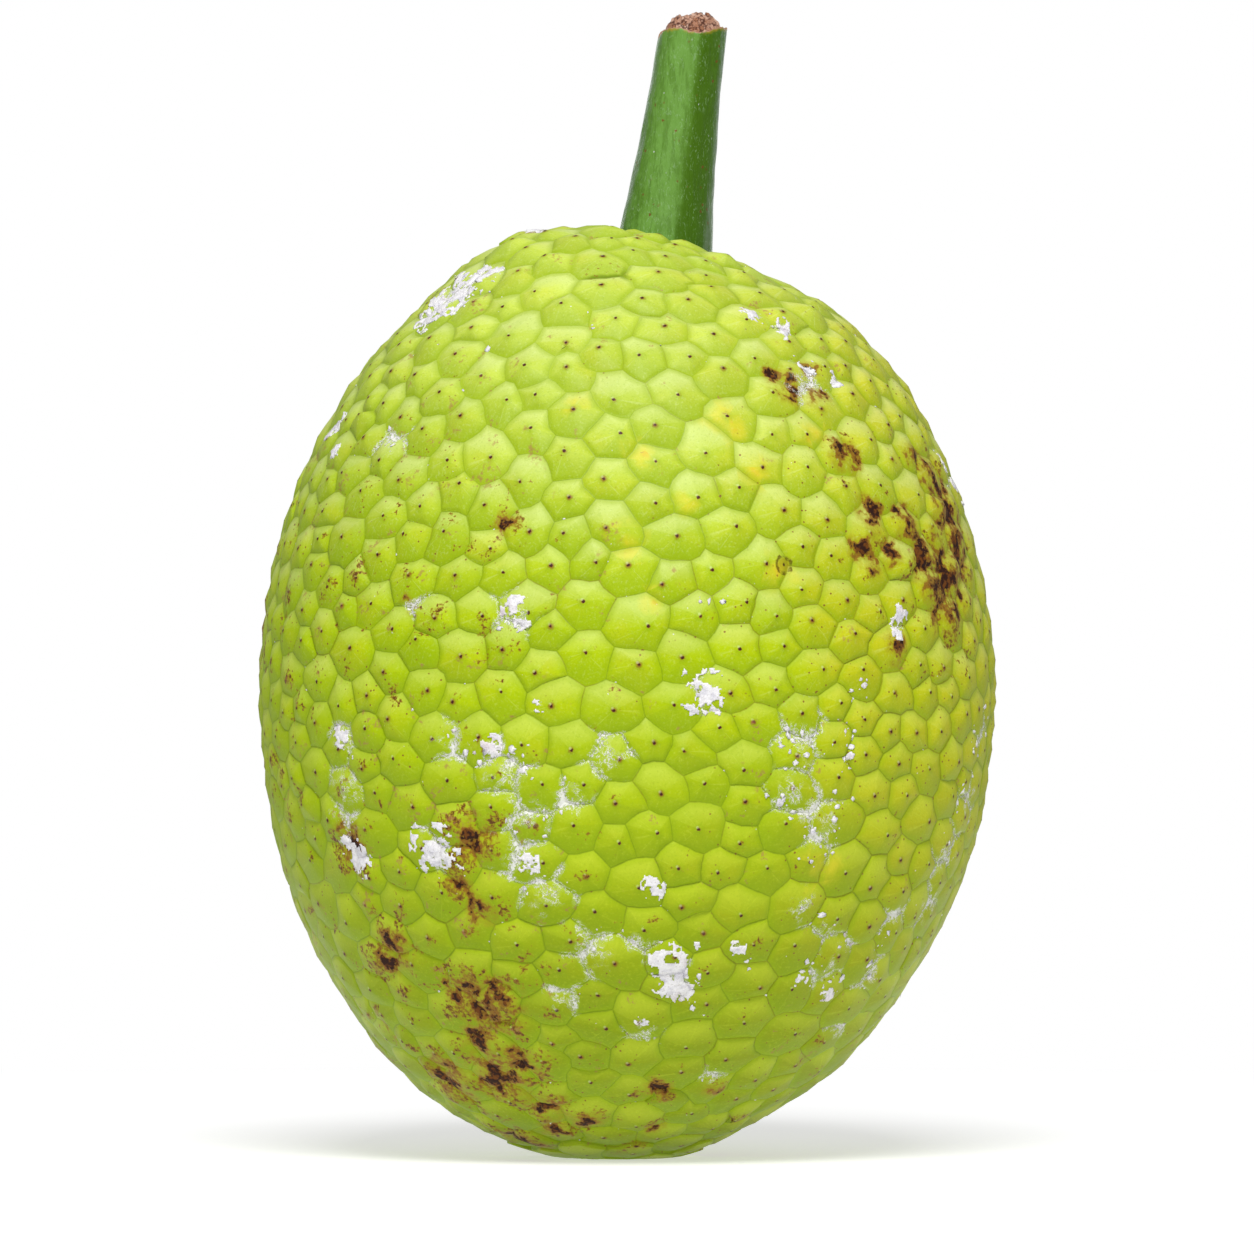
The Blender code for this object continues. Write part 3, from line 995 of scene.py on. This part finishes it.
def add_grooves(graph, colour):
    """A soft painted shade beside the grooves, and thin darker lines along them, faint at the crown,
    brown and marked here and there.
    """
    ragged = graph.plus(graph.measure("groove_mm"), graph.noise(0.7), 0.22)
    # Painted shade: a soft deeper, more saturated band up to about 1.8 mm from each groove
    colour = graph.coat(colour, GROOVE_SHADE, 0.52, graph.step(ragged, 1.8, 0.1))
    to_right = graph.step(graph.across, -20, 60)
    brown = graph.step(graph.plus(graph.noise(12), to_right, 0.16), 0.46, 0.60)
    line = graph.mix(brown, GROOVE_GREEN, GROOVE_BROWN)
    below_crown = graph.step(graph.height, 195, 105)
    colour = graph.coat(colour, line, 0.45, graph.step(ragged, 0.24, 0.02), below_crown)
    marked = graph.step(graph.plus(graph.noise(1.1, 3), to_right, 0.05), 0.68, 0.73)
    return graph.coat(colour, TIP_RED, 0.8, graph.step(ragged, 0.45, 0.15), marked)


def add_tips(graph, colour):
    """The dark dot at the tip of each face, with a red edge, a faint deeper ring and a painted pale
    glint beside it.
    """
    ragged = graph.plus(graph.measure("tip_mm"), graph.noise(0.6), 0.6)
    colour = graph.coat(colour, DEEP_GREEN, 0.26, graph.step(ragged, 1.9, 0.5))
    rusty = graph.step(graph.noise(7), 0.45, 0.60)
    colour = graph.coat(colour, RUST, 0.6, graph.step(ragged, 0.95, 0.45), rusty)
    colour = graph.bands(colour, ragged, (0.46, 0.33, 0.8, TIP_RED), (0.33, 0.23, 0.95, TIP_BROWN))
    # Painted highlight: a small pale glint beside each tip, where its nub would catch the light
    beside = graph.vector("SUBTRACT", graph.measure("from_tip", "Vector"), (-0.25, 0.4, 0))
    glint = graph.vector("LENGTH", beside, output="Value")
    return graph.coat(colour, HAZE_AND_GLINT, 0.5, graph.step(glint, 0.4, 0.15), graph.noise(3))


def add_speckle(graph, colour, pale):
    """The finest light and dark mottling of the skin, and specks of dust."""
    colour = graph.coat(colour, pale, 0.22, graph.step(graph.noise(0.55, 3, 0.6), 0.5, 0.75))
    colour = graph.coat(colour, DEEP_GREEN, 0.22, graph.step(graph.noise(0.45, 2, 0.6), 0.46, 0.30))
    dust = graph.step(graph.plus(graph.cells(3.1), graph.noise(0.4, 3, 0.6), 0.25), 0.045, 0.015)
    return graph.coat(colour, LATEX, 0.7, dust, graph.step(graph.noise(8), 0.45, 0.55))


def add_yellow(graph, colour):
    """Faces that have gone yellow in part."""
    where = graph.plus(graph.measure("yellowed"), graph.measure("facet_random"), 0.6)
    yellow = graph.step(graph.plus(where, graph.noise(3.5, 3), 1.3), 0.1, 0.9)
    orange = graph.step(graph.plus(where, graph.noise(2.2, 3), 1.6), 0.75, 1.2)
    return graph.coat(graph.coat(colour, YELLOW, 0.48, yellow), ORANGE, 0.5, orange)


def add_rust(graph, colour):
    """Rust brown smears in clusters, most of them near tips and scabs, and lone dark pin specks."""
    to_left = graph.step(graph.across, 10, -40)
    cluster = graph.plus(graph.noise(5.5), graph.step(graph.measure("tip_mm"), 4, 1), 0.07)
    cluster = graph.plus(cluster, graph.step(graph.measure("scab"), -1.2, 0.1), 0.18)
    cluster = graph.plus(cluster, graph.step(graph.height, 180, 110), 0.12)
    cluster = graph.step(graph.plus(cluster, to_left, 0.09), 0.50, 0.76)
    smears = graph.plus(graph.noise(0.85, 3, 0.6), cluster, 0.30)
    colour = graph.bands(colour, smears, (0.56, 0.64, 0.45, STAIN), (0.61, 0.67, 0.7, RUST),
                         (0.69, 0.75, 0.8, RUST_DARK))
    faded = graph.step(graph.plus(graph.noise(5.1), to_left, 0.05), 0.63, 0.69)
    colour = graph.coat(colour, RUST_PINK, 0.6, faded, graph.step(graph.noise(0.9, 4, 0.65), 0.5, 0.6))
    lone = graph.step(graph.plus(graph.cells(1.8), graph.noise(0.5), 0.20), 0.13, 0.09)
    edges = graph.step(graph.math("ABSOLUTE", graph.across), 5, 60)
    dense = graph.math("MAXIMUM", edges, graph.step(graph.height, 50, 15))
    dense = graph.step(graph.plus(graph.noise(9), dense, 0.34), 0.34, 0.58)
    return graph.coat(colour, TIP_RED, 0.8, lone, graph.step(graph.height, 210, 130), dense)


def add_scabs(graph, colour):
    """Dark dry blotches, broken up, with a rusty edge, and their share of each place."""
    near = graph.measure("scab")
    ragged = graph.plus(graph.plus(near, graph.noise(3, 3), 2.7), graph.noise(0.7, 3), 0.7)
    inside = graph.step(near, -0.4, 0.15)
    colour = graph.coat(colour, STAIN, 0.55, graph.step(ragged, -0.2, 0.5), inside)
    colour = graph.coat(colour, RUST, 0.8, graph.step(ragged, 0.38, 0.58), inside)
    crust = graph.times(graph.step(ragged, 0.64, 0.80), inside)
    dry = graph.mix(graph.step(graph.noise(1, 3), 0.46, 0.62), SCAB, SCAB_BROWN)
    return graph.mix(crust, colour, dry), crust


def add_films(graph, colour):
    """Dried latex in fine grains and threads, thickest by the grooves, and the share of the grains."""
    near = graph.measure("film")
    inside = graph.step(near, -0.45, 0.0)
    in_groove = graph.step(graph.measure("groove_mm"), 1.5, 0.1)
    cover = graph.plus(graph.plus(near, graph.noise(2.6, 3, 0.6), 3.4), in_groove, 0.75)
    colour = graph.coat(colour, HAZE_AND_GLINT, 0.22, graph.step(cover, 0.0, 0.9), inside)
    threads = graph.step(graph.apart(graph.noise(1.3, 3, 0.6), 0.5), 0.028, 0.008)
    colour = graph.coat(colour, LATEX, 0.75, threads, graph.step(cover, 0.0, 0.5), inside)
    grains = graph.plus(cover, graph.noise(0.45, 4, 0.8), 5.0)
    film = graph.times(graph.step(grains, 0.90, 1.0), inside)
    return graph.coat(colour, LATEX, 0.78, film), film


def add_crease(graph, colour, place, radius):
    """The grooves around a place where faces have grown against each other, with a painted shade of deep
    green in them and stains.
    """
    close = graph.step(graph.away(place), radius / MM, 0.4 * radius / MM)
    ragged = graph.plus(graph.measure("groove_mm"), graph.noise(1.5, 3), 0.9)
    # Painted shade: the grooves near the crease deep green, as if they were deeper
    colour = graph.coat(colour, CREASE_SHADE, 0.75, close, graph.step(ragged, 1.5, 0.2))
    return graph.coat(colour, RUST, 0.7, close, graph.step(graph.noise(0.9, 3), 0.60, 0.66))


def add_pimple(graph, colour, place, radius):
    """A round growth between the faces, with a dark ring around most of it."""
    away = graph.plus(graph.away(place), graph.noise(1.4, 3), 1.6)
    colour = graph.coat(colour, STAIN, 0.6, graph.step(away, radius / MM, 1.0))
    ring = graph.step(graph.apart(away, radius / MM), 0.5, 0.1)
    colour = graph.coat(colour, PIMPLE_BROWN, 0.85, ring, graph.step(graph.noise(1.2), 0.3, 0.5))
    return graph.coat(colour, TIP_BROWN, 0.9, graph.step(away, 0.5, 0.3))


def rind_material(pimple, crease):
    """The rind: a matt green skin with everything that marks it, and these two marks at their places."""
    graph = Graph("rind", roughness=RIND_ROUGHNESS, specular=0.14)
    pale = pale_green(graph)
    colour = painted_facet_light_and_shade(graph, ground_colour(graph), pale)
    colour = add_speckle(graph, colour, pale)
    colour = add_yellow(graph, colour)
    colour = add_grooves(graph, colour)
    colour = add_crease(graph, colour, *crease)
    colour = add_tips(graph, colour)
    colour = add_rust(graph, colour)
    colour = add_pimple(graph, colour, *pimple)
    colour, crust = add_scabs(graph, colour)
    colour, film = add_films(graph, colour)
    marks = graph.math("MAXIMUM", crust, film)
    roughness = graph.math("ADD", graph.math("MULTIPLY", marks, MARK_ROUGHNESS), RIND_ROUGHNESS)
    bumps = graph.plus(graph.times(marks, MARK_HEIGHT), graph.noise(0.5, 3), PORE_DEPTH)
    return graph.finish(colour, bumps, MM, roughness)


def latex_material():
    """Dry chalky latex, white with a grey or pinkish cast in places."""
    graph = Graph("latex", roughness=0.6, specular=0.3)
    colour = graph.mix(graph.step(graph.noise(1.8, 3), 0.45, 0.7), LATEX, LATEX_GREY)
    colour = graph.coat(colour, LATEX_PINK, 0.5, graph.step(graph.noise(4.5), 0.55, 0.75))
    colour = graph.coat(colour, LATEX_PIT, 0.35, graph.step(graph.noise(0.4, 3, 0.6), 0.42, 0.34))
    return graph.finish(colour, graph.noise(0.35, 4, 0.6), 0.25 * MM)


def stem_material():
    """A tough green skin with fine hairs, brown pores and white flecks, and a yellow and brown rim."""
    graph = Graph("stem_skin", roughness=0.42, specular=0.2)
    graph.shader.inputs["Sheen Weight"].default_value = 0.8
    graph.shader.inputs["Sheen Roughness"].default_value = 0.2
    graph.shader.inputs["Sheen Tint"].default_value = STEM_SHEEN
    along = graph.vector("MULTIPLY", graph.here, STREAKS)
    colour = stem_stripes(graph, along)
    hairs = graph.vector("MULTIPLY", graph.here, HAIRS)
    hairs = graph.step(graph.noise(1 / HAIR_COUNT, place=hairs, Distortion=HAIR_TWIST), 0.58, 0.65)
    colour = graph.coat(colour, STEM_HAIR, 0.30, hairs, graph.step(graph.noise(3.2), 0.35, 0.55))
    pores = graph.step(graph.plus(graph.cells(2.4), graph.noise(0.4, 3, 0.6), 0.35), 0.15, 0.09)
    colour = graph.coat(colour, STEM_PORE, 0.8, pores, graph.step(graph.noise(5), 0.46, 0.56))
    flecks = graph.cells(1.5, graph.vector("MULTIPLY", graph.here, FLECKS))
    flecks = graph.step(graph.plus(flecks, graph.noise(0.4), 0.1), 0.085, 0.04)
    colour = graph.coat(colour, LATEX_GREY, 0.8, flecks, graph.step(graph.noise(4), 0.45, 0.6))
    edge = graph.plus(graph.measure("rim_mm"), graph.noise(0.9, 3), 1.1)
    yellow = graph.step(graph.noise(2.6), 0.4, 0.6)
    colour = graph.coat(colour, RIM_YELLOW, 0.8, graph.step(edge, 0.9, 0.3), yellow)
    colour = graph.coat(colour, RIM_BROWN, 0.9, graph.step(edge, 0.30, 0.10))
    return graph.finish(colour, graph.noise(0.6, 4, 0.6, along), 0.22 * MM)


def stem_stripes(graph, along):
    """The stem's mottled green: a painted highlight to the left, a painted shade in a deep band to the
    right and a painted grey sheen along the flanks.
    """
    lean = graph.math("MULTIPLY", graph.math("SUBTRACT", graph.height, STEM_FOOT.z / MM), STEM_LEAN)
    aside = graph.math("SUBTRACT", graph.math("SUBTRACT", graph.across, STEM_FOOT.x / MM), lean)
    aside = graph.plus(aside, graph.noise(3.5, 3, place=along), 4.0)
    # Painted highlight: the left of the stem paler, where it faces the light
    painted_highlight = graph.step(aside, 3.2, -0.5)
    colour = graph.coat(STEM_GREEN, STEM_PALE_AND_HIGHLIGHT, 0.8, painted_highlight, graph.step(aside, -9, -3))
    colour = graph.coat(colour, STEM_PALE_AND_HIGHLIGHT, 0.42, graph.step(graph.noise(1.9, 4, 0.65), 0.42, 0.62))
    colour = graph.coat(colour, STEM_DEEP, 0.42, graph.step(graph.noise(1.2, 4, 0.7, along), 0.56, 0.38))
    # Painted shade: a deep band on the front right of the stem, turned away from the light
    front = graph.step(graph.depth, 6, 0)
    colour = graph.coat(colour, STEM_DEEP, 0.85, graph.step(aside, 1.2, 3.2), front)
    # Painted sheen: grey along the left and right flanks of the stem
    narrowed = graph.math("MULTIPLY", graph.height, STEM_NARROWING)
    narrowed = graph.math("SUBTRACT", narrowed, NARROWING_START)
    flanks = graph.step(graph.times(graph.math("ABSOLUTE", aside), narrowed), 8.4, 9.8)
    return graph.coat(colour, STEM_EDGE_SHEEN, 0.55, flanks, graph.step(graph.noise(1.8, 4, 0.6), 0.3, 0.6))


def core_material():
    """Torn brown flakes, dark in the gaps."""
    graph = Graph("stem_core", roughness=0.8, specular=0.2)
    shift = graph.noise(1.2, 3, output="Color")
    torn = graph.vector("ADD", graph.here, graph.vector("SCALE", shift, Scale=FLAKE_TWIST))
    flake = graph.part(graph.cells(1.6, torn, "Color"), "X")
    colour = graph.mix(graph.plus(flake, graph.noise(0.5, 4, 0.7), 1.6), CORE_BROWN, CORE_PALE)
    gaps = graph.cells(1.6, torn, feature="DISTANCE_TO_EDGE")
    gaps = graph.step(graph.plus(gaps, graph.noise(0.6, 4, 0.6), 0.5), 0.14, 0.0)
    return graph.finish(graph.coat(colour, CORE_DARK, 0.9, gaps), graph.noise(0.45, 5, 0.7), 0.5 * MM)


# ---- Stage ----

CAMERA_DISTANCE = 2.2
CAMERA_HEIGHT = 0.1071
VIEW_WIDTH = 0.2536             # that the camera takes in at the fruit
FLOOR_RADIUS = 0.45
FLOOR_GREY = 0.65
FLOOR_ROUGHNESS = 0.9
FLOOR_GLOW = 0.5
SOFT_LIGHT = 0.35               # strength of the studio's own light
KEY_PLACE = Vector((0.0, -1.0, 1.25))
KEY_SIZE = 0.7
KEY_WATTS = 24


def stage():
    """A pale floor, a white studio around it, a large soft light above and the camera."""
    disc = bmesh.new()
    bmesh.ops.create_circle(disc, cap_ends=True, segments=96, radius=FLOOR_RADIUS)
    mesh = bpy.data.meshes.new("floor")
    disc.to_mesh(mesh)
    disc.free()
    add_object(mesh)
    material = bpy.data.materials.new("floor")
    material.use_nodes = True
    shader = material.node_tree.nodes["Principled BSDF"]
    shader.inputs["Base Color"].default_value = (FLOOR_GREY, FLOOR_GREY, FLOOR_GREY, 1)
    shader.inputs["Roughness"].default_value = FLOOR_ROUGHNESS
    shader.inputs["Emission Color"].default_value = (1, 1, 1, 1)
    shader.inputs["Emission Strength"].default_value = FLOOR_GLOW
    mesh.materials.append(material)

    world = bpy.data.worlds.new("studio")
    bpy.context.scene.world = world
    world.use_nodes = True
    nodes = world.node_tree.nodes
    links = world.node_tree.links
    seen = nodes.new("ShaderNodeLightPath").outputs["Is Camera Ray"]
    strength = nodes.new("ShaderNodeMapRange")
    strength.inputs["To Min"].default_value = SOFT_LIGHT
    links.new(seen, strength.inputs["Value"])
    nodes["Background"].inputs["Color"].default_value = (1, 1, 1, 1)
    links.new(strength.outputs[0], nodes["Background"].inputs["Strength"])

    lamp = bpy.data.lights.new("key", "AREA")
    lamp.size = KEY_SIZE
    lamp.energy = KEY_WATTS
    target = Vector((LOWER_LEAN, 0, SEMI_AXES[2]))
    add_to_scene("key", lamp, KEY_PLACE, (target - KEY_PLACE).to_track_quat("-Z", "Y").to_euler())

    camera = bpy.data.cameras.new("camera")
    camera.lens = camera.sensor_width * CAMERA_DISTANCE / VIEW_WIDTH
    place = (LOWER_LEAN, -CAMERA_DISTANCE, CAMERA_HEIGHT)
    bpy.context.scene.camera = add_to_scene("camera", camera, place, (math.pi / 2, 0, 0))
    bpy.context.scene.view_settings.view_transform = "Standard"


def add_to_scene(name, data, place, turn):
    """A light or a camera at its place, turned as given."""
    thing = bpy.data.objects.new(name, data)
    thing.location = place
    thing.rotation_euler = turn
    bpy.context.scene.collection.objects.link(thing)
    return thing


def main():
    """All pieces around the frame, and the stage."""
    rind, (pimple, crease) = rind_piece()
    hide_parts("fruit")
    rind.data.materials.append(rind_material(pimple, crease))
    latex = latex_piece(rind)
    latex.data.materials.append(latex_material())
    skin = stem_piece()
    core = core_piece()
    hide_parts("stem")
    skin.data.materials.append(stem_material())
    core.data.materials.append(core_material())
    for piece in (rind, latex, skin, core):
        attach(piece, "root")
    stage()


main()
